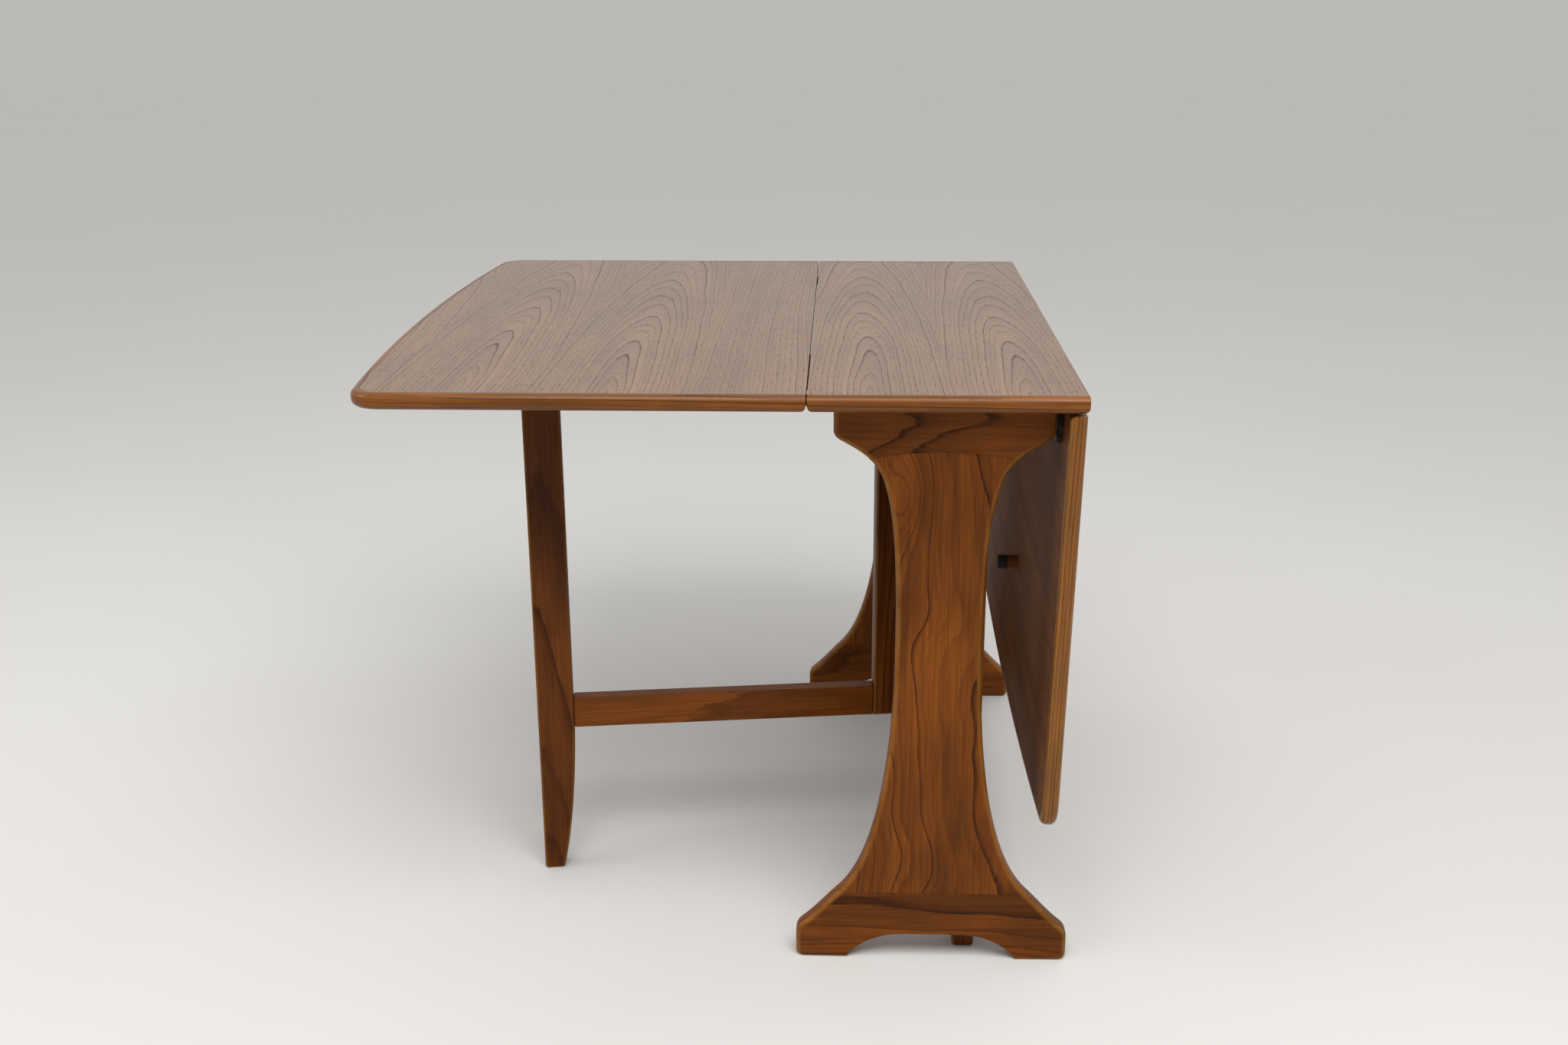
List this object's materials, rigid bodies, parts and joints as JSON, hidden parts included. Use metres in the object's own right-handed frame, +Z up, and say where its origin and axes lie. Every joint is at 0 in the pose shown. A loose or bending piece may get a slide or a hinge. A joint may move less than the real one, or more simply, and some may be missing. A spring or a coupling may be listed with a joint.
{
  "type": "drop leaf table",
  "caption": "Drop leaf table with shaped end panels, a narrow centre top, bowed leaves on let-in hinges and swing-out gate legs that hold the leaves up.",
  "frame": {"origin": "centre of the bounding box on the floor, with the left leaf up and the right leaf hanging", "axes": "+Z up, +Y along the hinge lines from the front panel to the rear panel, +X across the leaves from the raised leaf to the hanging leaf"},
  "size_m": [0.852, 0.91, 0.73],
  "materials": {
    "veneer": "satin",
    "lipping": "satin",
    "rail_wood": "satin",
    "post_wood": "satin",
    "leg_wood": "satin",
    "peg_wood": "matte",
    "rubber": "matte",
    "hinge_metal": "satin",
    "brass": "satin"
  },
  "bodies": {
    "frame": {"centre_board": "veneer", "centre_lipping_front": "lipping", "centre_lipping_rear": "lipping", "front_panel_cleat": "rail_wood", "front_panel_foot": "rail_wood", "front_panel_post": "post_wood", "left_gate_hinge_lower_fixed_flap": "hinge_metal", "left_gate_hinge_upper_fixed_flap": "hinge_metal", "left_hinge_socket_front": "hinge_metal", "left_hinge_socket_rear": "hinge_metal", "lower_stretcher": "rail_wood", "rear_panel_cleat": "rail_wood", "rear_panel_foot": "rail_wood", "rear_panel_post": "post_wood", "right_gate_hinge_lower_fixed_flap": "hinge_metal", "right_gate_hinge_upper_fixed_flap": "hinge_metal", "right_hinge_socket_front": "hinge_metal", "right_hinge_socket_rear": "hinge_metal", "spine_rail": "rail_wood"},
    "left_gate": {"left_gate_hinge_lower_moving_flap": "hinge_metal", "left_gate_hinge_upper_moving_flap": "hinge_metal", "left_gate_leg": "leg_wood", "left_gate_lower_rail": "rail_wood", "left_gate_post": "leg_wood", "left_gate_upper_rail": "rail_wood"},
    "left_leaf": {"left_leaf_board": "veneer", "left_leaf_hinge_arm_front": "hinge_metal", "left_leaf_hinge_arm_rear": "hinge_metal", "left_leaf_lipping": "lipping", "left_leaf_screw_front_1": "brass", "left_leaf_screw_front_2": "brass", "left_leaf_screw_rear_1": "brass", "left_leaf_screw_rear_2": "brass", "left_stop_peg": "peg_wood", "left_stop_peg_tip": "rubber"},
    "right_gate": {"right_gate_hinge_lower_moving_flap": "hinge_metal", "right_gate_hinge_upper_moving_flap": "hinge_metal", "right_gate_leg": "leg_wood", "right_gate_lower_rail": "rail_wood", "right_gate_post": "leg_wood", "right_gate_upper_rail": "rail_wood"},
    "right_leaf": {"right_leaf_board": "veneer", "right_leaf_hinge_arm_front": "hinge_metal", "right_leaf_hinge_arm_rear": "hinge_metal", "right_leaf_lipping": "lipping", "right_leaf_screw_front_1": "brass", "right_leaf_screw_front_2": "brass", "right_leaf_screw_rear_1": "brass", "right_leaf_screw_rear_2": "brass", "right_stop_peg": "peg_wood", "right_stop_peg_tip": "rubber"}
  },
  "joints": [
    {"name": "left_leaf_hinge", "type": "hinge", "parent": "frame", "child": "left_leaf", "pos_m": [0.11525, 0, 0.72025], "axis": [0, 1, 0], "range_deg": [0, 3]},
    {"name": "right_leaf_hinge", "type": "hinge", "parent": "frame", "child": "right_leaf", "pos_m": [0.40175, 0, 0.72025], "axis": [0, -1, 0], "range_deg": [0, 91.1]},
    {"name": "left_gate_hinge", "type": "hinge", "parent": "frame", "child": "left_gate", "pos_m": [0.23, -0.115, 0], "axis": [0, 0, -1], "range_deg": [0, 97.5]},
    {"name": "right_gate_hinge", "type": "hinge", "parent": "frame", "child": "right_gate", "pos_m": [0.287, 0.115, 0], "axis": [0, 0, 1], "range_deg": [0, 7.5]}
  ]
}
